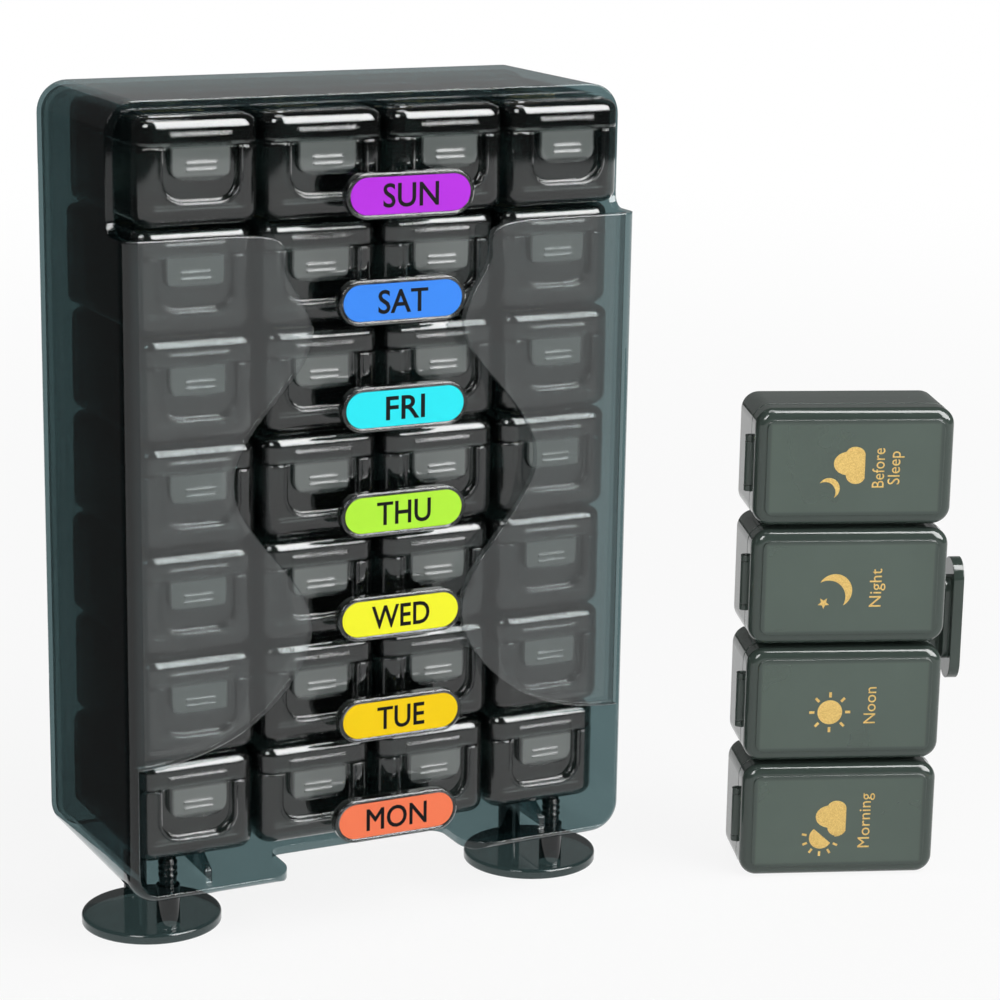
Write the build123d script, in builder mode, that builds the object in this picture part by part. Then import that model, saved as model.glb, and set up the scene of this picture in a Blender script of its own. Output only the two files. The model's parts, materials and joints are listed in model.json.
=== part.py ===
from build123d import *
import os

# A week's pill boxes stacked in an open-fronted tower, with one more box standing beside it.
# Millimetres, +Z up, front towards -Y. Each piece is drawn with the case's middle at X = Y = 0
# and moved at the end, so that the origin lies under the middle of the whole set, on the surface
# that it stands on.

os.makedirs("parts", exist_ok=True)

# what repeats
days = ["sun", "sat", "fri", "thu", "wed", "tue", "mon"]  # top box to bottom box
times = ["morning", "noon", "night", "bedtime"]  # left compartment to right

# compartments of one box
pod_width = 33.4
pod_gap = 1.1  # between one pod and the next
pod_depth = 56.0
pod_wall = 1.6
pod_floor = 1.6
pod_corner = 5.0
pod_base_round = 3.4
pod_inner_round = 2.0
pod_height = 20.0
web_depth = 34.0
web_floor_gap = 3.0
web_rim_gap = 1.5

# lids
lid_lift = 0.3  # gap between the pod's rim and the lid's skirt
lid_height = 7.5
lid_wall = 1.5
lid_side_gap = 0.1
lid_round = 2.8
panel_rise = 0.4
panel_inset = 3.0
panel_corner = 2.4
panel_edge = 0.2
lip_depth = 1.4
lip_wall = 1.0
lip_gap = 0.25

# clasp on each lid and the recess that it hangs in
clasp_width = 16.2
clasp_drop = 8.8
clasp_corner = 4.0
clasp_thickness = 1.5
clasp_gap = 0.3
clasp_overlap = 3.0
grip_length = 8.0
grip_height = 0.5
grip_rise = 0.25
grip_pitch = 1.7
recess_margin = 2.1  # round the clasp
recess_depth = 1.6
recess_floor_height = 6.1
recess_corner = 5.5
ridge_width = 0.9
ridge_rise = 0.5

# hinge of each lid
hinge_length = 12.3
hinge_radius = 1.5
hinge_set_back = 0.3  # axis behind the pod's back face
hinge_gap = 0.35
ear_thickness = 1.6
ear_gap = 0.15
pin_radius = 0.7
pin_fit = 0.05
pin_reach = 1.4

# name plate on the front of each box
tag_length = 36.0
tag_height = 11.8
tag_thickness = 3.0
tag_stand_off = 5.8
tag_centre_height = 6.6
tag_shift = 2.2
tag_rim = 1.0
label_thickness = 0.7
label_gap = 0.1
tag_web_width = 24.4
tag_web_thickness = 2.0
tag_web_height = 4.0
tag_back_thickness = 1.8
tag_back_height = 7.6

# case
case_wall = 2.4
case_corner = 8.5
case_front_round = 4.0
box_side_play = 2.3
box_back_play = 0.5
box_front_play = 3.2
box_gap = 0.5  # between one box and the next in the stack
head_room = 0.5
rail_height = 7.0
rail_thickness = 2.0
rail_inset = 20.75  # from the case's inner side
rail_front_height = 3.5
rail_ramp = 6.0
rail_set_back = 4.5
rail_gap = 0.2
top_set_back = 12.5  # the top bay's rim behind the front of the wings
step_round = 3.5

# wings in front of the middle boxes
wing_foot_gap = 0.6  # above the lowest box
wing_top_gap = 2.9  # below the highest box
wing_bulge = 22.0  # half of the slot where the wings come closest
wing_waist = 44.0
wing_waist_height = 111.8
wing_bulge_rise = 40.5
wing_bulge_drop = 39.8
wing_turn = 33.0
wing_turn_rise = 20.2
wing_shoulder = 46.0
wing_shoulder_mid = 29.5
wing_shoulder_drop = 8.6
wing_sweep_out = 56.0
wing_sweep_rise = 1.6
wing_sweep_mid = 37.0
wing_sweep_mid_rise = 9.8

# finger gap in the bottom plate
finger_half_width = 26.0
finger_depth = 22.0
finger_mouth_round = 10.0
finger_inner_round = 4.0

# back panel
panel_gap = 0.1
rebate_share = 1.2  # how far the rebate cuts into the case's wall

# feet
foot_radius = 19.0
foot_thickness = 2.6
foot_edge = 0.8
foot_inset = 15.15  # from the case's outer side
foot_middle = -6.0
post_radius = 3.2
post_height = 12.0
post_half_span = 13.0
peg_radius = 2.3
peg_fit = 0.1
peg_rise = 5.6
peg_ribs = 3
peg_rib_pitch = 1.7
peg_rib_height = 0.7
peg_rib_rise = 0.3

# how each box has settled in the stack: sideways, and out of the front
settle_side = {"sun": 0.0, "sat": 0.0, "fri": 0.9, "thu": 0.7, "wed": 0.0, "tue": 0.3, "mon": -0.7}
top_box_forward = 4.3

# the box that stands apart, on its morning end, lids to the front
apart_right = 136.0
apart_forward = 44.0
apart_turn = -21.0

# ---- worked out ----
pod_pitch = pod_width + pod_gap
lid_base = pod_height + lid_lift
box_height = lid_base + lid_height
box_length = (len(times) - 1) * pod_pitch + pod_width
box_pitch = box_height + box_gap
lid_width = pod_width - 2 * lid_side_gap
lid_shell = lid_height - panel_rise
hinge_y = pod_depth / 2 + hinge_set_back
hinge_z = pod_height + lid_lift / 2
ear_x = hinge_length / 2 + ear_gap + ear_thickness / 2
recess_width = clasp_width + 2 * recess_margin
clasp_back = -pod_depth / 2 + recess_depth - clasp_gap
tag_front = -pod_depth / 2 - tag_stand_off - tag_thickness
case_base = foot_thickness + post_height
first_box = case_base + case_wall + rail_height + rail_gap
inner_half = box_length / 2 + box_side_play
case_half = inner_half + case_wall
rail_half_span = inner_half - rail_inset
foot_half_span = case_half - foot_inset
inner_floor = case_base + case_wall
inner_top = first_box + (len(days) - 1) * box_pitch + box_height + head_room
case_top = inner_top + case_wall
hinge_reach = hinge_set_back + hinge_radius
case_depth = (case_wall + box_front_play + pod_depth + hinge_reach + box_back_play + case_wall)
case_front = -case_depth / 2
case_back = case_depth / 2
box_middle = case_back - case_wall - box_back_play - hinge_reach - pod_depth / 2
wing_foot = first_box + box_height + wing_foot_gap
wing_top = first_box + (len(days) - 1) * box_pitch - wing_top_gap
top_rim = case_front + top_set_back


def pod_row():
    return GridLocations(pod_pitch, 0, len(times), 1)


def front_plane(y):
    return Plane.XZ.offset(-y)


def make_tray():
    """Four pods in a row, joined by webs, with clasp recesses, hinge ears and the name plate."""
    with BuildPart() as tray:
        with BuildSketch(Plane.XY):
            with pod_row():
                RectangleRounded(pod_width, pod_depth, pod_corner)
        extrude(amount=pod_height)
        fillet(tray.edges().group_by(Axis.Z)[0], pod_base_round)
        with BuildSketch(Plane.XY.offset(web_floor_gap + pod_base_round)):
            with GridLocations(pod_pitch, 0, len(times) - 1, 1):
                Rectangle(pod_pitch - pod_width + pod_wall, web_depth)
        extrude(amount=pod_height - web_rim_gap - web_floor_gap - pod_base_round)
        with BuildSketch(Plane.XY.offset(pod_floor)):
            with pod_row():
                RectangleRounded(
                    pod_width - 2 * pod_wall, pod_depth - 2 * pod_wall, pod_corner - pod_wall
                )
        extrude(amount=pod_height - pod_floor, mode=Mode.SUBTRACT)
        fillet(tray.edges().filter_by_position(Axis.Z, pod_floor - 0.01, pod_floor + 0.01), pod_inner_round)
        # the wall steps inwards behind each clasp
        boss_width = recess_width + 2 * pod_wall
        boss_floor = recess_floor_height - pod_wall
        with BuildSketch(front_plane(-pod_depth / 2 + pod_wall)):
            with pod_row():
                with Locations((0, (boss_floor + pod_height) / 2)):
                    Rectangle(boss_width, pod_height - boss_floor)
        extrude(amount=-recess_depth)
        recess_height = pod_height + recess_corner - recess_floor_height
        with BuildSketch(front_plane(-pod_depth / 2)):
            with pod_row():
                with Locations((0, recess_floor_height + recess_height / 2)):
                    RectangleRounded(recess_width, recess_height, recess_corner)
        extrude(amount=-recess_depth, mode=Mode.SUBTRACT)
        with BuildSketch(front_plane(-pod_depth / 2)):
            with pod_row():
                with Locations((0, recess_floor_height + recess_height / 2)):
                    RectangleRounded(
                        recess_width + 2 * ridge_width,
                        recess_height + 2 * ridge_width,
                        recess_corner + ridge_width,
                    )
                    RectangleRounded(recess_width, recess_height, recess_corner, mode=Mode.SUBTRACT)
            with Locations((0, pod_height + recess_height / 2)):
                Rectangle(box_length, recess_height, mode=Mode.SUBTRACT)
        extrude(amount=ridge_rise)
        # hinge: a notch for the lid's barrel between two ears
        with Locations((0, hinge_y, hinge_z)):
            with pod_row():
                Cylinder(
                    hinge_radius + hinge_gap,
                    hinge_length + 2 * ear_gap,
                    rotation=(0, 90, 0),
                    mode=Mode.SUBTRACT,
                )
                with GridLocations(2 * ear_x, 0, 2, 1):
                    Cylinder(hinge_radius, ear_thickness, rotation=(0, 90, 0))
                    Cylinder(pin_radius + pin_fit, ear_thickness, rotation=(0, 90, 0), mode=Mode.SUBTRACT)
        # name plate on its shelf
        shelf_back = -pod_depth / 2 + pod_wall / 2
        shelf_front = -pod_depth / 2 - tag_stand_off
        with Locations((tag_shift, (shelf_back + shelf_front) / 2, tag_web_height + tag_web_thickness / 2)):
            Box(tag_web_width, shelf_back - shelf_front, tag_web_thickness)
        with BuildSketch(front_plane(shelf_front + tag_back_thickness)):
            with Locations((tag_shift, tag_centre_height)):
                SlotOverall(tag_web_width, tag_back_height)
        extrude(amount=tag_back_thickness)
        with BuildSketch(front_plane(shelf_front)):
            with Locations((tag_shift, tag_centre_height)):
                SlotOverall(tag_length, tag_height)
        extrude(amount=tag_thickness)
        with BuildSketch(front_plane(tag_front)):
            with Locations((tag_shift, tag_centre_height)):
                SlotOverall(tag_length - 2 * tag_rim, tag_height - 2 * tag_rim)
        extrude(amount=-label_thickness - label_gap, mode=Mode.SUBTRACT)
    return tray


def make_lid():
    """One lid over the middle of the box, its hinge barrel and pins behind and its clasp in front."""
    with BuildPart() as lid:
        with BuildSketch(Plane.XY.offset(lid_base)):
            RectangleRounded(lid_width, pod_depth, pod_corner)
        extrude(amount=lid_shell)
        fillet(lid.edges().group_by(Axis.Z)[-1], lid_round)
        with BuildSketch(Plane.XY.offset(lid_base + lid_shell)):
            RectangleRounded(lid_width - 2 * panel_inset, pod_depth - 2 * panel_inset, panel_corner)
        extrude(amount=panel_rise)
        fillet(lid.edges().group_by(Axis.Z)[-1], panel_edge)
        with BuildSketch(Plane.XY.offset(lid_base)):
            RectangleRounded(lid_width - 2 * lid_wall, pod_depth - 2 * lid_wall, pod_corner - lid_wall)
        extrude(amount=lid_shell - lid_wall, mode=Mode.SUBTRACT)
        # a lip that drops inside the pod's rim, open behind the clasp
        lip_width = pod_width - 2 * pod_wall - 2 * lip_gap
        lip_length = pod_depth - 2 * pod_wall - 2 * lip_gap
        lip_corner = pod_corner - pod_wall - lip_gap
        with BuildSketch(Plane.XY.offset(pod_height - lip_depth)):
            RectangleRounded(lip_width, lip_length, lip_corner)
            RectangleRounded(
                lip_width - 2 * lip_wall, lip_length - 2 * lip_wall, lip_corner - lip_wall, mode=Mode.SUBTRACT
            )
            with Locations((0, -pod_depth / 2)):
                Rectangle(
                    recess_width + 2 * pod_wall + 2 * lip_gap,
                    2 * (pod_wall + recess_depth + lip_wall + lip_gap),
                    mode=Mode.SUBTRACT,
                )
        extrude(amount=lid_lift + lip_depth + lid_shell - lid_wall)
        # clasp
        clasp_height = clasp_drop + clasp_overlap
        with BuildSketch(front_plane(clasp_back)):
            with Locations((0, lid_base + clasp_overlap - clasp_height / 2)):
                RectangleRounded(clasp_width, clasp_height, clasp_corner)
            with Locations((0, lid_base + clasp_overlap - clasp_corner / 2)):
                Rectangle(clasp_width, clasp_corner)
        extrude(amount=clasp_thickness)
        clasp_front = clasp_back - clasp_thickness
        with Locations((0, clasp_front, lid_base - clasp_drop / 2)):
            with Locations((0, 0, -grip_pitch), (0, 0, 0)):
                Box(grip_length, 2 * grip_rise, grip_height)
        # barrel, pins and the skirt's notches round the ears
        notch_height = hinge_z + hinge_radius + hinge_gap - lid_base
        with Locations((0, pod_depth / 2, lid_base + notch_height / 2)):
            with GridLocations(2 * ear_x, 0, 2, 1):
                Box(ear_thickness + 2 * ear_gap, 4 * lid_wall, notch_height, mode=Mode.SUBTRACT)
        with Locations((0, hinge_y, hinge_z)):
            Cylinder(hinge_radius, hinge_length, rotation=(0, 90, 0))
            Cylinder(pin_radius, hinge_length + 2 * (ear_gap + pin_reach), rotation=(0, 90, 0))
        with Locations((0, hinge_y - hinge_radius / 2, hinge_z + hinge_radius / 2)):
            Box(hinge_length, hinge_radius, hinge_radius)
    return lid


def make_label():
    """The coloured insert that lies in the name plate."""
    with BuildPart() as label:
        with BuildSketch(front_plane(tag_front + label_thickness)):
            with Locations((tag_shift, tag_centre_height)):
                SlotOverall(
                    tag_length - 2 * tag_rim - 2 * label_gap, tag_height - 2 * tag_rim - 2 * label_gap
                )
        extrude(amount=label_thickness)
    return label


def wing_window():
    """The outline of half of the slot between the wings: an hourglass standing on the lowest bay."""
    waist = case_base + wing_waist_height
    with BuildLine() as edge:
        Spline(
            (inner_half, wing_foot),
            (wing_sweep_out, wing_foot + wing_sweep_rise),
            (wing_sweep_mid, wing_foot + wing_sweep_mid_rise),
            (wing_bulge, waist - wing_bulge_drop),
            (wing_turn, waist - wing_turn_rise),
            (wing_waist, waist),
            (wing_turn, waist + wing_turn_rise),
            (wing_bulge, waist + wing_bulge_rise),
            (wing_shoulder_mid, wing_top - wing_shoulder_drop),
            (wing_shoulder, wing_top),
            tangents=((-1, 0), (1, 0)),
        )
        Polyline(
            (wing_shoulder, wing_top), (wing_shoulder, case_top), (0, case_top), (0, wing_foot),
            (inner_half, wing_foot),
        )
    return edge.edges()


def make_case():
    """The smoked case: side walls, top, bottom and the two wings in one moulding."""
    case_height = case_top - case_base
    middle_height = (case_top + case_base) / 2
    with BuildPart() as case:
        with BuildSketch(front_plane(case_back)):
            with Locations((0, middle_height)):
                RectangleRounded(2 * case_half, case_height, case_corner)
        extrude(amount=case_depth)
        fillet(case.edges().group_by(Axis.Y)[0], case_front_round)
        with BuildSketch(front_plane(case_back)):
            with Locations((0, middle_height)):
                RectangleRounded(2 * inner_half, case_height - 2 * case_wall, case_corner - case_wall)
        extrude(amount=case_depth - case_wall, mode=Mode.SUBTRACT)
        # rebate for the back panel
        with BuildSketch(front_plane(case_back)):
            with Locations((0, middle_height)):
                RectangleRounded(
                    2 * (inner_half + rebate_share),
                    case_height - 2 * (case_wall - rebate_share),
                    case_corner - case_wall + rebate_share,
                )
        extrude(amount=case_wall, mode=Mode.SUBTRACT)
        # the slot between the wings and the open bay under them
        with BuildSketch(front_plane(case_front)):
            bay_height = wing_foot - inner_floor + case_corner
            with Locations((0, inner_floor + bay_height / 2)):
                RectangleRounded(2 * inner_half, bay_height, case_corner - case_wall)
                with Locations((0, bay_height / 2)):
                    Rectangle(2 * case_half, 2 * case_corner, mode=Mode.SUBTRACT)
            make_face(wing_window())
            mirror(about=Plane.YZ)
        extrude(amount=-case_wall - case_front_round, mode=Mode.SUBTRACT)
        # the top bay is cut back behind the wings
        with BuildSketch(Plane.YZ.offset(-case_half)):
            with BuildLine():
                FilletPolyline(
                    (case_front - step_round, wing_top),
                    (top_rim, wing_top),
                    (top_rim, case_top + step_round),
                    radius=step_round,
                )
                Polyline(
                    (top_rim, case_top + step_round),
                    (case_front - step_round, case_top + step_round),
                    (case_front - step_round, wing_top),
                )
            make_face()
        extrude(amount=2 * case_half, mode=Mode.SUBTRACT)
        # finger gap in the bottom plate
        with BuildSketch(Plane.XY.offset(case_base)):
            with BuildLine():
                mouth = finger_half_width + 2 * finger_mouth_round
                FilletPolyline(
                    (-mouth, case_front),
                    (-finger_half_width, case_front),
                    (-finger_half_width, case_front + finger_depth),
                    (finger_half_width, case_front + finger_depth),
                    (finger_half_width, case_front),
                    (mouth, case_front),
                    radius=[finger_mouth_round, finger_inner_round, finger_inner_round, finger_mouth_round],
                )
                Polyline(
                    (mouth, case_front),
                    (mouth, case_front - finger_depth),
                    (-mouth, case_front - finger_depth),
                    (-mouth, case_front),
                )
            make_face()
        extrude(amount=case_wall, mode=Mode.SUBTRACT)
        # holes for the feet's pegs
        with Locations((0, foot_middle, case_base + case_wall / 2)):
            with GridLocations(2 * foot_half_span, 2 * post_half_span, 2, 2):
                Cylinder(peg_radius + peg_fit, 2 * case_wall, mode=Mode.SUBTRACT)
        # rails that carry the lowest box
        rail_front = case_front + rail_set_back
        rail_back = case_back - case_wall
        for side in (-1, 1):
            with BuildSketch(Plane.YZ.offset(side * rail_half_span - rail_thickness / 2)):
                with BuildLine():
                    Polyline(
                        (rail_front, inner_floor),
                        (rail_front, inner_floor + rail_front_height),
                        (rail_front + rail_ramp, inner_floor + rail_height),
                        (rail_back, inner_floor + rail_height),
                        (rail_back, inner_floor),
                        close=True,
                    )
                make_face()
            extrude(amount=rail_thickness)
    return case


def make_back_panel():
    """The panel that closes the case behind."""
    half_width = inner_half + rebate_share - panel_gap
    half_height = (case_top - case_base) / 2 - case_wall + rebate_share - panel_gap
    with BuildPart() as panel:
        with BuildSketch(front_plane(case_back)):
            with Locations((0, (case_top + case_base) / 2)):
                RectangleRounded(
                    2 * half_width, 2 * half_height, case_corner - case_wall + rebate_share - panel_gap
                )
        extrude(amount=case_wall)
    return panel


def make_foot(side):
    """A disc with two posts, whose ribbed pegs push up through the bottom plate."""
    x = side * foot_half_span
    with BuildPart() as foot:
        with BuildSketch(Plane.XY):
            with Locations((x, foot_middle)):
                Circle(foot_radius)
        extrude(amount=foot_thickness)
        fillet(foot.edges().group_by(Axis.Z)[-1], foot_edge)
        with BuildSketch(Plane.XY.offset(foot_thickness)):
            with Locations((x, foot_middle)):
                with GridLocations(0, 2 * post_half_span, 1, 2):
                    Circle(post_radius)
        extrude(amount=post_height)
        with BuildSketch(Plane.XY.offset(case_base)):
            with Locations((x, foot_middle)):
                with GridLocations(0, 2 * post_half_span, 1, 2):
                    Circle(peg_radius)
        extrude(amount=case_wall + peg_rise)
        fillet(foot.edges().group_by(Axis.Z)[-1], peg_radius / 2)
        for rib in range(peg_ribs):
            rib_z = inner_floor + peg_fit + peg_rib_height / 2 + rib * peg_rib_pitch
            with Locations((x, foot_middle, rib_z)):
                with GridLocations(0, 2 * post_half_span, 1, 2):
                    Cylinder(peg_radius + peg_rib_rise, peg_rib_height)
    return foot


case_shell = make_case()
back_panel = make_back_panel()
foot_left = make_foot(-1)
foot_right = make_foot(1)
tray = make_tray()
lid = make_lid()
label = make_label()

pieces = {
    "case_shell": case_shell.part,
    "back_panel": back_panel.part,
    "foot_left": foot_left.part,
    "foot_right": foot_right.part,
}


def add_box(name, place):
    """One whole box, its pieces moved together to where it stands."""
    pieces[f"{name}_tray"] = tray.part.moved(place)
    pieces[f"{name}_label"] = label.part.moved(place)
    for index, time in enumerate(times):
        along = (index - (len(times) - 1) / 2) * pod_pitch
        pieces[f"{name}_lid_{time}"] = lid.part.moved(place * Location((along, 0, 0)))


for row, day in enumerate(days):
    forward = top_box_forward if row == 0 else 0
    height = first_box + (len(days) - 1 - row) * box_pitch
    add_box(day, Location((settle_side[day], box_middle - forward, height)))

# the box apart: its length upright, lids turned to the front, name plate to the right
upright = Plane(origin=(0, 0, 0), x_dir=(0, 0, 1), z_dir=(0, -1, 0)).location
turned = Location((apart_right, -apart_forward, box_length / 2), (0, 0, apart_turn))
apart = turned * upright * Location((0, 0, -box_height / 2))
add_box("spare", apart)

# the origin goes under the middle of the whole set
bounds = Compound(list(pieces.values())).bounding_box()
shift = Location((-bounds.center().X, -bounds.center().Y, -bounds.min.Z))
for name, shape in pieces.items():
    whole = shape.moved(shift)
    whole.label = name
    export_step(whole, f"parts/{name}.step")

hinge_line = shift * apart * Location((0, hinge_y, hinge_z))
print(f"case {2 * case_half:.1f} wide, {case_depth:.1f} deep, top at {case_top:.1f}")
print(f"box {box_length:.1f} x {pod_depth:.1f} x {box_height:.1f}, pitch {box_pitch:.1f}")
print(f"set {bounds.size.X:.2f} x {bounds.size.Y:.2f} x {bounds.size.Z:.2f}")
print(f"shift {shift.position.X:.3f}, {shift.position.Y:.3f}, {shift.position.Z:.3f}")
print(f"spare hinge line {hinge_line.position.X:.4f}, {hinge_line.position.Y:.4f}")
print(f"spare box middle {(shift * apart).position.X:.4f}, {(shift * apart).position.Y:.4f}")
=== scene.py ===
import json
import math
import bmesh
import bpy
from mathutils import Matrix, Vector


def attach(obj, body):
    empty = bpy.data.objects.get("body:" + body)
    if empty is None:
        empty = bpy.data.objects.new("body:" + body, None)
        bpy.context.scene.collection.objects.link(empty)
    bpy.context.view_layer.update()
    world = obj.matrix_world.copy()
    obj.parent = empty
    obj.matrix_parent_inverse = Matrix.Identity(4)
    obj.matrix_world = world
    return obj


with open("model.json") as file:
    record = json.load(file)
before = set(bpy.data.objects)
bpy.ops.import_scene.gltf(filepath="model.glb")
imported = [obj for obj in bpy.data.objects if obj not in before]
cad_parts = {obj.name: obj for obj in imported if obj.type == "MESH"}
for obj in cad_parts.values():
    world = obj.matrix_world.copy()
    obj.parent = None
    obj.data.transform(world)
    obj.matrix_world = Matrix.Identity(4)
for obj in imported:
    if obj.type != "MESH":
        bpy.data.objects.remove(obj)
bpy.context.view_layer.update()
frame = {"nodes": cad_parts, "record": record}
print("frame loaded,", len(frame["nodes"]), "nodes")

mm = 0.001
weekRows = ["sun", "sat", "fri", "thu", "wed", "tue", "mon"]  # top box to bottom box
dayTimes = ["morning", "noon", "night", "bedtime"]  # left lid to right lid
boxLayout = {
    # millimetres, and degrees for the turn
    "shift": (-49.043, 16.364),  # case's middle in the set
    "middle": 0.45,  # boxes' middle behind the case's
    "firstBox": 24.2,  # underside of the lowest box
    "pitch": 28.3,
    "topForward": 4.3,  # how far the top box stands out
    "settle": {"fri": 0.9, "thu": 0.7, "tue": 0.3, "mon": -0.7},  # small offsets to the side
    "lidPitch": 34.5,
    "lidTop": 27.8,
    "spareSpot": (136.0, -44.0, 68.45),  # from the case's middle and the floor
    "spareTurn": -21.0,
}


def boxPlace(day):  # where a box's own millimetres lie in the set, in metres
    shiftX, shiftY = boxLayout["shift"]
    if day == "spare":
        x, y, z = boxLayout["spareSpot"]
        stand = Matrix(((0, -1, 0, 0), (0, 0, -1, 0), (1, 0, 0, 0), (0, 0, 0, 1)))  # on its end, lids to the front
        spun = Matrix.Rotation(math.radians(boxLayout["spareTurn"]), 4, "Z")
        turned = Matrix.Translation((x + shiftX, y + shiftY, z)) @ spun
        place = turned @ stand @ Matrix.Translation((0, 0, -boxLayout["lidTop"] / 2))
    else:
        row = weekRows.index(day)
        forward = boxLayout["topForward"] if row == 0 else 0
        place = Matrix.Translation((
            shiftX + boxLayout["settle"].get(day, 0),
            shiftY + boxLayout["middle"] - forward,
            boxLayout["firstBox"] + (len(weekRows) - 1 - row) * boxLayout["pitch"],
        ))
    return Matrix.Scale(mm, 4) @ place


class Signal:  # a node's output, with maths on it
    def __init__(self, paint, socket):
        self.paint, self.socket = paint, socket

    def join(self, operation, first, second):
        return self.paint.add("ShaderNodeMath", {"operation": operation}, {0: first, 1: second})

    def __add__(self, other):
        return self.join("ADD", self, other)

    def __sub__(self, other):
        return self.join("SUBTRACT", self, other)

    def __rsub__(self, other):
        return self.join("SUBTRACT", other, self)

    def __mul__(self, other):
        return self.join("MULTIPLY", self, other)

    __radd__ = __add__
    __rmul__ = __mul__


class Paint:  # a node tree being built
    def __init__(self, owner):
        owner.use_nodes = True
        self.tree = owner.node_tree
        self.tree.nodes.clear()

    def add(self, kind, settings=None, inputs=None, output=0):
        node = self.tree.nodes.new(kind)
        for key, value in (settings or {}).items():
            setattr(node, key, value)
        for key, value in (inputs or {}).items():
            if isinstance(value, Signal):
                self.tree.links.new(value.socket, node.inputs[key])
            else:
                node.inputs[key].default_value = value
        return Signal(self, node.outputs[output]) if node.outputs else None

    def blend(self, factor, first, second):
        return self.add("ShaderNodeMix", {"data_type": "RGBA"}, {0: factor, 6: first, 7: second}, 2)

    def noise(self, where, scale, detail=2.0, roughness=0.5):
        look = {"Vector": where, "Scale": scale, "Detail": detail, "Roughness": roughness}
        return self.add("ShaderNodeTexNoise", None, look)

    def parts(self, vector):  # its three numbers
        node = self.add("ShaderNodeSeparateXYZ", None, {0: vector}).socket.node
        return [Signal(self, output) for output in node.outputs]

    def mixed(self, factor, first, second):  # two shaders
        return self.add("ShaderNodeMixShader", None, {0: factor, 1: first, 2: second})

    def show(self, surface):
        self.add("ShaderNodeOutputMaterial", None, {"Surface": surface})


def band(paint, value, low, high, soft):  # 1 between low and high, with soft ends
    ramp = {"interpolation_type": "SMOOTHSTEP"}
    rise = paint.add("ShaderNodeMapRange", ramp, {"Value": value, "From Min": low - soft, "From Max": low + soft})
    fall = paint.add("ShaderNodeMapRange", ramp, {
        "Value": value, "From Min": high - soft, "From Max": high + soft, "To Min": 1.0, "To Max": 0.0})
    return rise * fall


def colour(red, green, blue):  # from 0-255 as seen on a screen
    shares = [value / 255 for value in (red, green, blue)]
    return tuple(
        share / 12.92 if share <= 0.04045 else ((share + 0.055) / 1.055) ** 2.4 for share in shares) + (1.0,)


# each finish: what light keeps on its way through a face, the smoke's darkest and palest tone and its share,
# the polish's roughness and bend of light, and how far the edges look eased, in metres
caseFinish = {
    "tint": (0.36, 0.45, 0.46, 1), "deep": (0.012, 0.022, 0.023, 1), "body": (0.02, 0.035, 0.036, 1),
    "haze": 0.05, "roughness": 0.03, "index": 1.47, "edge": 0.0007,
    # the wings let the boxes show
    "thin": {
        "tint": (0.90, 0.92, 0.92, 1), "front": -1.0, "behind": -0.0141, "from": 0.0535, "to": 0.1915,
        "left": -0.1182, "right": 0.0201, "soft": 0.0002},
}
panelFinish = {
    "tint": (0.52, 0.60, 0.60, 1), "deep": (0.012, 0.03, 0.03, 1), "body": (0.02, 0.045, 0.045, 1),
    "haze": 0.1, "roughness": 0.05, "index": 1.47, "edge": 0.0005,
}
footFinish = {
    "tint": (0.06, 0.10, 0.10, 1), "deep": (0.006, 0.012, 0.012, 1), "body": (0.010, 0.018, 0.018, 1),
    "haze": 0.40, "roughness": 0.03, "index": 1.5, "edge": 0.0006,
}
# the tower's boxes: the same smoke as the box apart, its tones painted darker for the shade inside the case
boxFinishPaintedShade = {
    "tint": (0.42, 0.46, 0.45, 1), "deep": (0.010, 0.012, 0.012, 1), "body": (0.018, 0.022, 0.021, 1),
    "haze": 0.16, "roughness": 0.03, "index": 1.6, "edge": 0.0012,
}
# the tower's lids: the boxes' painted shade, with painted light on the clasps
lidFinishPaintedShadeAndLight = {
    **boxFinishPaintedShade,
    # the clasps are painted paler for the light they catch; millimetres in a box's own frame, but the depth from the
    # case's middle
    "claspPaintedLight": {
        "width": 15.5, "low": 12.6, "high": 20.0, "far": -100.0, "front": -24.5, "soft": 0.5, "frontSoft": 0.2,
        "haze": 0.42, "shade": (0.30, 0.33, 0.32, 1)},
}
# the box apart: the same smoke as the tower's boxes, its tones painted paler for the light all round it
looseFinishPaintedLight = {
    "tint": (0.46, 0.52, 0.49, 1), "deep": (0.125, 0.172, 0.143, 1), "body": (0.153, 0.206, 0.174, 1),
    "haze": 0.55, "roughness": 0.08, "index": 1.47, "edge": 0.0004,
    # the lip inside a lid darkens its edge; half the panel's width and depth in millimetres
    "rim": {"across": 12.6, "deep": 23.9, "soft": 0.5, "haze": 0.6, "shade": (0.030, 0.042, 0.038, 1)},
}
mouldedGrain = {
    "cloud": 38.0, "cloudDetail": 3.0, "cloudReach": 0.06,
    "smear": 120.0, "smearDetail": 4.0, "smearRoughness": 0.6, "smearRelief": 0.04, "smearGloss": 0.03,
    "wave": 26.0, "waveDetail": 1.0, "reliefStrength": 0.04, "reliefHeight": 0.0004,
    "smokeRoughness": 0.4, "smokeReach": 0.1, "bevelSamples": 6,
}


def wingMask(paint, where, thin):  # 1 on the case's wings
    across, depth, height = paint.parts(where)
    middle = band(paint, depth, thin["front"], thin["behind"], thin["soft"])
    middle = middle * band(paint, height, thin["from"], thin["to"], thin["soft"])
    return middle * band(paint, across, thin["left"], thin["right"], thin["soft"])


def rimMask(paint, where, rim):  # 1 round the panel of each lid on the box apart
    home = boxPlace("spare").inverted()
    own = paint.add("ShaderNodeMapping", {"vector_type": "POINT"}, {
        "Vector": where, "Location": home.translation, "Rotation": home.to_euler(), "Scale": home.to_scale()})
    along, deep, _ = paint.parts(own)
    pitch = boxLayout["lidPitch"]
    within = paint.add("ShaderNodeMath", {"operation": "FRACT"}, {0: along * (1 / pitch)}) * pitch - pitch / 2
    panel = band(paint, within, -rim["across"], rim["across"], rim["soft"])
    return 1 - panel * band(paint, deep, -rim["deep"], rim["deep"], rim["soft"])


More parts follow.
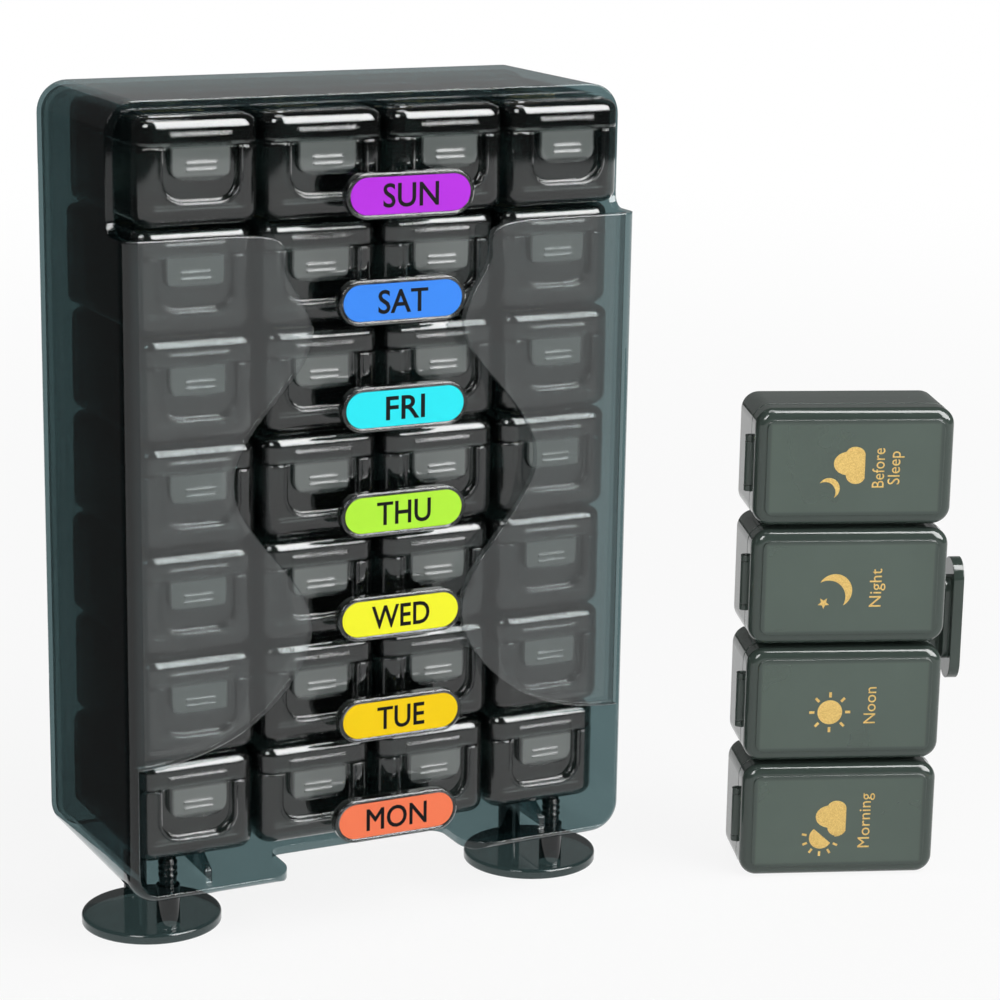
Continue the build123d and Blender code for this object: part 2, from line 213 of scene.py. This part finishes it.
def claspPaintedLightMask(paint, where, claspPaintedLight):  # 1 on each clasp in the tower, where a paler shade is painted for the light it catches
    across, depth, height = (number * (1 / mm) for number in paint.parts(where))
    column = (across - boxLayout["shift"][0]) * (1 / boxLayout["lidPitch"])
    row = (height - boxLayout["firstBox"]) * (1 / boxLayout["pitch"])
    beside = paint.add("ShaderNodeMath", {"operation": "FRACT"}, {0: column}) * boxLayout["lidPitch"]
    above = paint.add("ShaderNodeMath", {"operation": "FRACT"}, {0: row}) * boxLayout["pitch"]
    half = claspPaintedLight["width"] / 2
    middle = boxLayout["lidPitch"] / 2
    patch = band(paint, beside, middle - half, middle + half, claspPaintedLight["soft"])
    patch = patch * band(paint, above, claspPaintedLight["low"], claspPaintedLight["high"], claspPaintedLight["soft"])
    return patch * band(paint, depth, claspPaintedLight["far"], boxLayout["shift"][1] + claspPaintedLight["front"], claspPaintedLight["frontSoft"])


def smokedPlastic(name, finish):  # clear moulded plastic with smoke in it, polished, with faint clouding and marks
    material = bpy.data.materials.new(name)
    paint = Paint(material)
    grain = mouldedGrain
    where = paint.add("ShaderNodeTexCoord", None, None, "Object")
    cloud = paint.noise(where, grain["cloud"], grain["cloudDetail"])
    smear = paint.noise(where, grain["smear"], grain["smearDetail"], grain["smearRoughness"])
    wave = paint.noise(where, grain["wave"], grain["waveDetail"])
    # the small rounds on a moulding's edges
    eased = paint.add("ShaderNodeBevel", {"samples": grain["bevelSamples"]}, {"Radius": finish["edge"]})
    relief = paint.add("ShaderNodeBump", None, {
        "Strength": grain["reliefStrength"], "Distance": grain["reliefHeight"],
        "Height": wave + smear * grain["smearRelief"], "Normal": eased})

    def smoke(shade):
        return paint.add("ShaderNodeBsdfPrincipled", None, {
            "Base Color": shade, "Roughness": smear * grain["smokeReach"] + grain["smokeRoughness"],
            "Specular IOR Level": 0.0, "Normal": relief})

    clear = paint.add("ShaderNodeBsdfTransparent", None, {"Color": finish["tint"]})
    filling = smoke(paint.blend(cloud, finish["deep"], finish["body"]))
    polish = paint.add("ShaderNodeBsdfGlossy", None, {
        "Color": (1, 1, 1, 1), "Normal": relief,
        "Roughness": smear * grain["smearGloss"] + (finish["roughness"] - 0.4 * grain["smearGloss"])})
    # a wall's far face mirrors as its near face does, not as the inside of a thick block
    inward = paint.add("ShaderNodeNewGeometry", None, None, "Backfacing")
    bend = inward * (1 / finish["index"] - finish["index"]) + finish["index"]
    mirror = paint.add("ShaderNodeFresnel", None, {"IOR": bend, "Normal": relief})
    if "thin" in finish:
        clearer = paint.add("ShaderNodeBsdfTransparent", None, {"Color": finish["thin"]["tint"]})
        clear = paint.mixed(wingMask(paint, where, finish["thin"]), clear, clearer)
    haze = cloud * grain["cloudReach"] + (finish["haze"] - grain["cloudReach"] / 2)
    inside = paint.mixed(haze, clear, filling)
    # the rim's darker smoke is the lid's own lip; the clasps' paler smoke is painted light
    for key, mask in (("rim", rimMask), ("claspPaintedLight", claspPaintedLightMask)):
        if key in finish:
            patch = finish[key]
            inside = paint.mixed(mask(paint, where, patch) * patch["haze"], inside, smoke(patch["shade"]))
    paint.show(paint.mixed(mirror, inside, polish))
    return material


labelColours = {
    "sun": ("violet", colour(188, 51, 230)),
    "sat": ("blue", colour(62, 142, 250)),
    "fri": ("cyan", colour(45, 240, 252)),
    "thu": ("lime", colour(185, 247, 62)),
    "wed": ("yellow", colour(254, 254, 45)),
    "tue": ("amber", colour(255, 214, 0)),
    "mon": ("orange", colour(255, 128, 87)),
    "spare": ("dark", colour(40, 52, 50)),
}
cardPrint = {
    "grain": 2600.0, "grainDetail": 3.0, "tone": 90.0, "fade": 0.88, "toneReach": 0.5, "grainReach": 0.35,
    "roughness": 0.3, "roughReach": 0.15, "shine": 0.2, "film": 0.08, "filmRoughness": 0.12, "relief": 0.12,
}
foilPrint = {
    "flakes": 5200.0, "dark": colour(206, 166, 88), "pale": colour(240, 208, 128), "metal": 0.25,
    "roughness": 0.3, "roughReach": 0.25, "relief": 0.35,
}
inkPrint = {
    "grain": 3000.0, "grainDetail": 3.0, "dark": colour(8, 8, 9), "pale": colour(22, 22, 23),
    "roughness": 0.3, "roughReach": 0.2, "shine": 0.1,
}
printRelief = 0.00005  # metres


def printedCard(name, shade):  # a label's coloured face: even ink with the card's fine tooth, under a thin film
    material = bpy.data.materials.new(name)
    paint = Paint(material)
    where = paint.add("ShaderNodeTexCoord", None, None, "Object")
    grain = paint.noise(where, cardPrint["grain"], cardPrint["grainDetail"])
    tone = paint.noise(where, cardPrint["tone"])
    darker = tuple(cardPrint["fade"] * value for value in shade[:3]) + (1.0,)
    paint.show(paint.add("ShaderNodeBsdfPrincipled", None, {
        "Base Color": paint.blend(tone * cardPrint["toneReach"] + grain * cardPrint["grainReach"], shade, darker),
        "Roughness": grain * cardPrint["roughReach"] + cardPrint["roughness"],
        "Specular IOR Level": cardPrint["shine"],
        "Coat Weight": cardPrint["film"],
        "Coat Roughness": cardPrint["filmRoughness"],
        "Normal": paint.add("ShaderNodeBump", None, {
            "Strength": cardPrint["relief"], "Distance": printRelief, "Height": grain}),
    }))
    return material


def goldFoil(name):  # gold ink with fine flakes that catch the light one by one
    material = bpy.data.materials.new(name)
    paint = Paint(material)
    where = paint.add("ShaderNodeTexCoord", None, None, "Object")
    flakes = paint.add("ShaderNodeTexVoronoi", None, {"Vector": where, "Scale": foilPrint["flakes"]}, "Color")
    flake = paint.add("ShaderNodeSeparateColor", None, {"Color": flakes})
    paint.show(paint.add("ShaderNodeBsdfPrincipled", None, {
        "Base Color": paint.blend(flake, foilPrint["dark"], foilPrint["pale"]),
        "Metallic": foilPrint["metal"],
        "Roughness": flake * foilPrint["roughReach"] + foilPrint["roughness"],
        "Normal": paint.add("ShaderNodeBump", None, {
            "Strength": foilPrint["relief"], "Distance": printRelief, "Height": flake}),
    }))
    return material


def blackInk(name):
    material = bpy.data.materials.new(name)
    paint = Paint(material)
    where = paint.add("ShaderNodeTexCoord", None, None, "Object")
    grain = paint.noise(where, inkPrint["grain"], inkPrint["grainDetail"])
    paint.show(paint.add("ShaderNodeBsdfPrincipled", None, {
        "Base Color": paint.blend(grain, inkPrint["dark"], inkPrint["pale"]),
        "Roughness": grain * inkPrint["roughReach"] + inkPrint["roughness"],
        "Specular IOR Level": inkPrint["shine"],
    }))
    return material


materials = {
    "case_smoke": smokedPlastic("caseSmoke", caseFinish),
    "panel_smoke": smokedPlastic("panelSmoke", panelFinish),
    "foot_smoke": smokedPlastic("footSmoke", footFinish),
    "box_smoke": smokedPlastic("boxSmokePaintedShade", boxFinishPaintedShade),
    "lid_smoke": smokedPlastic("lidSmokePaintedShadeAndLight", lidFinishPaintedShadeAndLight),
}
loosePlasticPaintedLight = smokedPlastic("looseSmokePaintedLight", looseFinishPaintedLight)  # the box apart: the boxes' smoke with its tones painted paler for the light all round it
for day, (shadeName, shade) in labelColours.items():
    materials["label_" + shadeName] = printedCard("label" + shadeName.capitalize(), shade)
gold = goldFoil("goldPrint")
black = blackInk("blackPrint")

for part in frame["record"]["subparts"]:
    node = frame["nodes"][part["node"]]
    node.data.materials.clear()
    # the box apart gets the paler copy of the smoke, painted for its light
    apart = part["node"].startswith("spare") and not part["node"].endswith("label")
    node.data.materials.append(loosePlasticPaintedLight if apart else materials[part["material_slot"]])
print("finishes on the moulded parts")


# a finished piece: its place goes into its mesh and it rides on its body
def settled(name, mesh, place, material, body):
    mesh.transform(place)
    mesh.materials.clear()
    mesh.materials.append(material)
    piece = bpy.data.objects.new(name, mesh)
    bpy.context.scene.collection.objects.link(piece)
    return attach(piece, body)


def curveMesh(curve):  # a text or flat curve as a mesh
    holder = bpy.data.objects.new("holder", curve)
    bpy.context.scene.collection.objects.link(holder)
    shapes = bpy.context.evaluated_depsgraph_get()
    mesh = bpy.data.meshes.new_from_object(holder.evaluated_get(shapes))
    bpy.data.objects.remove(holder)
    return mesh


def thickened(shape, name, thickness):  # a flat shape given its thickness, as a mesh
    top = bmesh.ops.extrude_face_region(shape, geom=shape.faces[:])["geom"]
    lifted = [v for v in top if isinstance(v, bmesh.types.BMVert)]
    bmesh.ops.translate(shape, vec=(0, 0, thickness), verts=lifted)
    bmesh.ops.translate(shape, vec=(0, 0, -thickness / 2), verts=shape.verts[:])
    bmesh.ops.recalc_face_normals(shape, faces=shape.faces[:])
    mesh = bpy.data.meshes.new(name)
    shape.to_mesh(mesh)
    shape.free()
    return mesh


outlineSteps = {"letters": 4, "pictures": 10, "weld": 0.0005}  # curve steps; the weld in millimetres


def lettering(words, style):  # one line of print on its base line, its middle at x = 0, in millimetres
    curve = bpy.data.curves.new("words", "FONT")
    curve.body = words
    curve.size = style["size"]
    curve.align_x = "CENTER"
    curve.space_character = style["spacing"]
    curve.resolution_u = outlineSteps["letters"]
    shape = bmesh.new()
    shape.from_mesh(curveMesh(curve))
    bmesh.ops.remove_doubles(shape, verts=shape.verts[:], dist=outlineSteps["weld"])
    if style["weight"]:  # heavier strokes: the outline moves out and the folded rim goes
        rim = bmesh.ops.inset_region(
            shape, faces=shape.faces[:], thickness=-style["weight"], use_boundary=True, use_even_offset=True)["faces"]
        bmesh.ops.delete(shape, geom=rim, context="FACES")
    mesh = thickened(shape, "words", style["thickness"])
    low = min(v.co.x for v in mesh.vertices)
    high = max(v.co.x for v in mesh.vertices)
    fit = style["width"] / (high - low)
    mesh.transform(Matrix.Translation((-(low + high) / 2 * fit, 0, 0)) @ Matrix.Diagonal((fit, 1, 1, 1)))
    return mesh


dayPrint = {"size": 8.7, "spacing": 1.02, "weight": 0.11, "thickness": 0.08, "capHeight": 6.3}
dayWidth = {"sun": 15.7, "sat": 14.2, "fri": 11.2, "thu": 15.6, "wed": 16.9, "tue": 13.9, "mon": 17.9}
plateSpot = {"x": 2.2, "front": -36.83, "z": 6.6}  # the middle of a name on its plate


def dayName(day):  # the mesh, and where it lies in its box
    mesh = lettering(day.upper(), {**dayPrint, "width": dayWidth[day]})
    low = min(v.co.y for v in mesh.vertices)
    high = max(v.co.y for v in mesh.vertices)
    fit = dayPrint["capHeight"] / (high - low)
    mesh.transform(Matrix.Diagonal((1, fit, 1, 1)))
    plate = Matrix.Translation((plateSpot["x"], plateSpot["front"], plateSpot["z"]))
    upright = plate @ Matrix.Rotation(math.radians(90), 4, "X")
    return upright @ Matrix.Translation((0, -(low + high) / 2 * fit, 0)), mesh


def bodyOf(day):
    return {"sun": "sun_box", "mon": "mon_box", "spare": "spare_box"}.get(day, "tower")


for day in weekRows:
    spot, mesh = dayName(day)
    settled(day + "_name", mesh, boxPlace(day) @ spot, black, bodyOf(day))
print("weekday names set")

printDepth = {"thickness": 0.06, "sink": 0.01}
outlineShare = 0.12  # of a side, how far its handles stand in from its ends


# a flat shape from its corner points and how far each side bulges out, in millimetres
def flatOutline(points, bulges):
    curve = bpy.data.curves.new("outline", "CURVE")
    curve.dimensions = "2D"
    curve.fill_mode = "BOTH"
    curve.extrude = printDepth["thickness"] / 2
    curve.resolution_u = outlineSteps["pictures"]
    spline = curve.splines.new("BEZIER")
    spline.bezier_points.add(len(points) - 1)
    spline.use_cyclic_u = True
    for corner, (x, y) in zip(spline.bezier_points, points):
        corner.co = (x, y, 0)
        corner.handle_left_type = corner.handle_right_type = "FREE"
    count = len(points)
    for index in range(count):
        start, end = spline.bezier_points[index], spline.bezier_points[(index + 1) % count]
        run = end.co - start.co
        out = Vector((run.y, -run.x, 0)).normalized()
        start.handle_right = start.co + out * bulges[index] * 4 / 3 + run * outlineShare
        end.handle_left = end.co + out * bulges[index] * 4 / 3 - run * outlineShare
    return curveMesh(curve)


def joined(*meshes):  # several meshes as one
    shape = bmesh.new()
    for mesh in meshes:
        shape.from_mesh(mesh)
    whole = bpy.data.meshes.new("print")
    shape.to_mesh(whole)
    shape.free()
    return whole


def moved(mesh, x, y, turn=0.0, size=1.0):
    turned = Matrix.Rotation(math.radians(turn), 4, "Z") @ Matrix.Diagonal((size, size, 1, 1))
    mesh.transform(Matrix.Translation((x, y, 0)) @ turned)
    return mesh


def sunShape(sun):  # a disc with rays round it, all round or only on one side
    shape = bmesh.new()
    bmesh.ops.create_circle(shape, cap_ends=True, segments=sun["segments"], radius=sun["radius"])
    if sun["cut"] is not None:
        bmesh.ops.bisect_plane(
            shape, geom=shape.verts[:] + shape.edges[:] + shape.faces[:],
            plane_co=[value * sun["cutOut"] for value in sun["cut"]], plane_no=sun["cut"], clear_outer=True)
    ray = bmesh.ops.create_grid(shape, x_segments=1, y_segments=1, size=0.5)["verts"]
    bmesh.ops.scale(shape, vec=(sun["rayWidth"], sun["rayLength"], 1), verts=ray)
    bmesh.ops.translate(shape, vec=(0, sun["rayStart"] + sun["rayLength"] / 2, 0), verts=ray)
    first = Matrix.Rotation(math.radians(sun["firstRay"]), 3, "Z")
    bmesh.ops.rotate(shape, verts=ray, cent=(0, 0, 0), matrix=first)
    face = list({f for v in ray for f in v.link_faces})
    bmesh.ops.spin(
        shape, geom=face, cent=(0, 0, 0), axis=(0, 0, 1), angle=math.radians(sun["raySpan"]),
        steps=sun["rays"] - 1, use_duplicate=True)
    bmesh.ops.recalc_face_normals(shape, faces=shape.faces[:])
    return thickened(shape, "sun", printDepth["thickness"])


starPrint = {"radius": 1.7, "waist": 0.45, "turn": 18}


def starShape():  # a five-pointed star: every other corner of a ten-sided disc drawn in
    shape = bmesh.new()
    corners = bmesh.ops.create_circle(shape, cap_ends=True, segments=10, radius=starPrint["radius"])["verts"]
    bmesh.ops.scale(shape, vec=(starPrint["waist"], starPrint["waist"], 1), verts=corners[1::2])
    return thickened(shape, "star", printDepth["thickness"])


fullSun = {
    "radius": 3.55, "segments": 40, "cut": None,
    "rayWidth": 0.75, "rayLength": 1.5, "rayStart": 4.4, "firstRay": 0, "raySpan": 315, "rays": 8,
}
risingSun = {
    # the side of the disc that the cloud hides is cut away
    "radius": 3.3, "segments": 40, "cut": (0.75, -0.66, 0), "cutOut": 0.7,
    "rayWidth": 0.65, "rayLength": 1.4, "rayStart": 4.1, "firstRay": -12, "raySpan": 200, "rays": 7,
}
cloudShape = {"corners": [(3.6, -4.4), (4.3, 0.9), (-2.4, 0.9), (-3.4, -4.4)], "bulges": [1.7, 3.5, 2.0, 0.0]}
moonShape = {"radius": 4.9, "segments": 64, "cut": 1.3, "turn": 135, "small": 0.62}  # small for the bedtime lid


def cloud():
    return flatOutline(cloudShape["corners"], cloudShape["bulges"])


def moon():  # a disc whose one side is folded in
    shape = bmesh.new()
    rim = bmesh.ops.create_circle(
        shape, cap_ends=True, segments=moonShape["segments"], radius=moonShape["radius"])["verts"]
    folded = [v for v in rim if v.co.x > moonShape["cut"]]
    bmesh.ops.scale(shape, vec=(-1, 1, 1), verts=folded)
    bmesh.ops.translate(shape, vec=(2 * moonShape["cut"], 0, 0), verts=folded)
    turn = Matrix.Rotation(math.radians(moonShape["turn"]), 3, "Z")
    bmesh.ops.rotate(shape, verts=shape.verts[:], cent=(0, 0, 0), matrix=turn)
    return thickened(shape, "moon", printDepth["thickness"])


wordPrint = {"size": 4.9, "spacing": 1.03, "weight": 0.0, "thickness": printDepth["thickness"]}
lidPrint = {
    # words with their width and base line, and the middle of each part of the picture,
    # in millimetres along and across the lid
    "morning": {"words": [("Morning", 16.3, -9.0)], "sun": (-5.0, 5.2), "cloud": (0.4, 2.4)},
    "noon": {"words": [("Noon", 10.7, -9.0)], "sun": (-1.9, 4.1)},
    "night": {"words": [("Night", 11.0, -9.0)], "moon": (-0.8, 4.2), "star": (-4.3, 7.3)},
    "bedtime": {"words": [("Before", 11.2, -8.2), ("Sleep", 9.4, -12.6)], "moon": (-5.8, 7.2), "cloud": (0.4, 1.7)},
}


def iconShape(time):
    spots = lidPrint[time]
    if time == "noon":
        return moved(sunShape(fullSun), *spots["sun"])
    if time == "morning":
        return joined(moved(sunShape(risingSun), *spots["sun"]), moved(cloud(), *spots["cloud"]))
    if time == "night":
        return joined(moved(moon(), *spots["moon"]), moved(starShape(), *spots["star"], starPrint["turn"]))
    return joined(moved(moon(), *spots["moon"], 0, moonShape["small"]), moved(cloud(), *spots["cloud"]))


def lidArt(time):  # a lid's print, lying round the lid's own middle
    shapes = [iconShape(time)]
    for words, width, base in lidPrint[time]["words"]:
        shapes.append(moved(lettering(words, {**wordPrint, "width": width}), 0, base))
    return joined(*shapes)


prints = {time: lidArt(time) for time in dayTimes}
for day in weekRows + ["spare"]:
    for index, time in enumerate(dayTimes):
        along = (index - (len(dayTimes) - 1) / 2) * boxLayout["lidPitch"]
        lift = boxLayout["lidTop"] + printDepth["thickness"] / 2 - printDepth["sink"]
        spot = Matrix.Translation((along, 0, lift))
        body = "spare_lid_" + time if day == "spare" else bodyOf(day)
        settled(f"{day}_print_{time}", prints[time].copy(), boxPlace(day) @ spot, gold, body)
print("prints on the lids set")

camera = {
    # degrees and millimetres
    "azimuth": -26.91, "elevation": 14.01, "roll": 0.95, "lens": 106.04,
    "target": (17.52, 49.51, 96.65), "distance": 871.2, "sensor": 36, "nearest": 10, "farthest": 60000,
}


def setCamera():
    azimuth, elevation, roll = (math.radians(camera[key]) for key in ("azimuth", "elevation", "roll"))
    flat = math.cos(elevation)
    back = Vector((math.sin(azimuth) * flat, -math.cos(azimuth) * flat, math.sin(elevation)))
    side = Vector((math.cos(azimuth), math.sin(azimuth), 0))
    up = back.cross(side)
    right = side * math.cos(roll) + up * math.sin(roll)
    top = up * math.cos(roll) - side * math.sin(roll)
    data = bpy.data.cameras.new("view")
    data.lens = camera["lens"]
    data.sensor_width = camera["sensor"]
    data.clip_start = camera["nearest"] * mm
    data.clip_end = camera["farthest"] * mm
    eye = bpy.data.objects.new("view", data)
    turn = Matrix((right, top, back)).transposed().to_4x4()
    eye.matrix_world = Matrix.Translation((Vector(camera["target"]) + back * camera["distance"]) * mm) @ turn
    bpy.context.scene.collection.objects.link(eye)
    bpy.context.scene.camera = eye


setCamera()

studio = {
    # metres; how white the floor shows near the object and from where it is plain white
    "floorSize": 24.0, "floorGrey": 0.82, "worldLight": 0.42, "floorGlow": 0.88, "glowFrom": 0.2, "whiteFrom": 1.5,
}
cards = [
    # the studio's cards, which only a polish shows: degrees round from the front towards the right, degrees
    # up, or in metres the heights of an upright one or the width of one that lies on the floor, and the distance
    {"name": "darkRoom", "round": (-180, 180), "up": (0.0, 89.0), "distance": 1.60, "brightness": 0.06},
    {"name": "rightSoftbox", "round": (10, 54), "up": (14, 82), "distance": 1.50, "brightness": 15.0},
    {"name": "leftSoftbox", "round": (-62, -40), "up": (26, 52), "distance": 1.50, "brightness": 13.0},
    {"name": "overheadSoftbox", "round": (-180, 180), "up": (76, 89), "distance": 1.48, "brightness": 6.0},
    {"name": "paleWall", "round": (125, 178), "up": (4, 34), "distance": 1.55, "brightness": 0.24},
    {"name": "leftFlag", "round": (-152, -92), "height": (0.001, 0.220), "distance": 0.270, "brightness": 0.04},
    {"name": "leftCloth", "round": (-152, -92), "flat": 0.125, "distance": 0.270, "brightness": 0.04},
]
cardSteps = {"up": 12, "round": 24, "offFloor": 0.001}
lamps = [
    # name, where, aimed at, width, height, power, in metres and watts
    ("topLamp", (0.45, -0.55, 1.05), (0.0, 0.0, 0.12), 0.8, 0.6, 5.6),
    ("frontLamp", (0.75, -1.2, 0.45), (0.0, 0.0, 0.1), 0.6, 0.8, 5.2),
    ("leftLamp", (-0.9, -0.9, 0.5), (0.0, 0.0, 0.1), 0.4, 0.7, 2.5),
]


def background(paint):  # 1 for the camera, for a polish and for anything seen through
    seen, mirrored, through = (
        paint.add("ShaderNodeLightPath", None, None, output)
        for output in ("Is Camera Ray", "Is Glossy Ray", "Is Transmission Ray"))
    return paint.add("ShaderNodeMath", {"operation": "ADD", "use_clamp": True}, {0: seen + mirrored, 1: through})


def setWorld():
    world = bpy.data.worlds.new("studio")
    paint = Paint(world)
    shown = background(paint)
    strength = shown + (1 - shown) * studio["worldLight"]
    sky = paint.add("ShaderNodeBackground", None, {"Color": (1, 1, 1, 1), "Strength": strength})
    paint.add("ShaderNodeOutputWorld", None, {"Surface": sky})
    bpy.context.scene.world = world


def scenery(name, shape, material):  # a shape as an object of the scene
    mesh = bpy.data.meshes.new(name)
    shape.to_mesh(mesh)
    shape.free()
    mesh.materials.append(material)
    piece = bpy.data.objects.new(name, mesh)
    bpy.context.scene.collection.objects.link(piece)
    return piece


def setFloor():
    material = bpy.data.materials.new("paleFloor")
    paint = Paint(material)
    where = paint.add("ShaderNodeTexCoord", None, None, "Object")
    far = paint.add("ShaderNodeVectorMath", {"operation": "LENGTH"}, {0: where}, "Value")
    reach = paint.add("ShaderNodeMapRange", {"interpolation_type": "SMOOTHSTEP"}, {
        "Value": far, "From Min": studio["glowFrom"], "From Max": studio["whiteFrom"],
        "To Min": studio["floorGlow"], "To Max": 1.0})
    matt = paint.add("ShaderNodeBsdfDiffuse", None, {"Color": (studio["floorGrey"],) * 3 + (1,)})
    glow = paint.add("ShaderNodeEmission", None, {"Color": (1, 1, 1, 1), "Strength": 1.0})
    paint.show(paint.mixed(background(paint) * reach, matt, glow))
    shape = bmesh.new()
    bmesh.ops.create_grid(shape, x_segments=4, y_segments=4, size=studio["floorSize"] / 2)
    floor = scenery("floor", shape, material)


def cardShape(card):  # an arc that rises, a straight edge that stands or one that lies, drawn round the set
    shape = bmesh.new()
    centre = (0, 0, 0)
    left, right = card["round"]
    if "up" in card:
        low, high = card["up"]
        foot = shape.verts.new((0, -card["distance"], 0))
        lifted = Matrix.Rotation(math.radians(-low), 3, "X")
        bmesh.ops.rotate(shape, verts=[foot], cent=centre, matrix=lifted)
        bmesh.ops.spin(
            shape, geom=[foot], cent=centre, axis=(-1, 0, 0), angle=math.radians(high - low), steps=cardSteps["up"])
    else:
        low, high = card.get("height", (cardSteps["offFloor"],) * 2)
        foot = shape.verts.new((0, -card["distance"], low))
        rise = bmesh.ops.extrude_vert_indiv(shape, verts=[foot])["verts"]
        bmesh.ops.translate(shape, verts=rise, vec=(0, card.get("flat", 0.0), high - low))
    start = Matrix.Rotation(math.radians(left), 3, "Z")
    bmesh.ops.rotate(shape, verts=shape.verts[:], cent=centre, matrix=start)
    bmesh.ops.spin(
        shape, geom=shape.verts[:] + shape.edges[:], cent=centre, axis=(0, 0, 1),
        angle=math.radians(right - left), steps=cardSteps["round"])
    return shape


def setCards():
    for card in cards:
        material = bpy.data.materials.new(card["name"])
        paint = Paint(material)
        paint.show(paint.add("ShaderNodeEmission", None, {"Color": (1, 1, 1, 1), "Strength": card["brightness"]}))
        material.cycles.emission_sampling = "NONE"
        piece = scenery(card["name"], cardShape(card), material)
        piece.visible_camera = piece.visible_diffuse = piece.visible_transmission = False
        piece.visible_volume_scatter = piece.visible_shadow = False


def setLamps():
    for name, where, aim, width, height, power in lamps:
        data = bpy.data.lights.new(name, "AREA")
        data.shape = "RECTANGLE"
        data.size, data.size_y, data.energy = width, height, power
        lamp = bpy.data.objects.new(name, data)
        lamp.visible_glossy = False  # the softboxes' cards show instead
        lamp.location = where
        lamp.rotation_euler = (Vector(aim) - Vector(where)).to_track_quat("-Z", "Y").to_euler()
        bpy.context.scene.collection.objects.link(lamp)


setCards()
setWorld()
setFloor()
setLamps()
bpy.context.scene.view_settings.view_transform = "Standard"
print("camera, floor and lamps set")
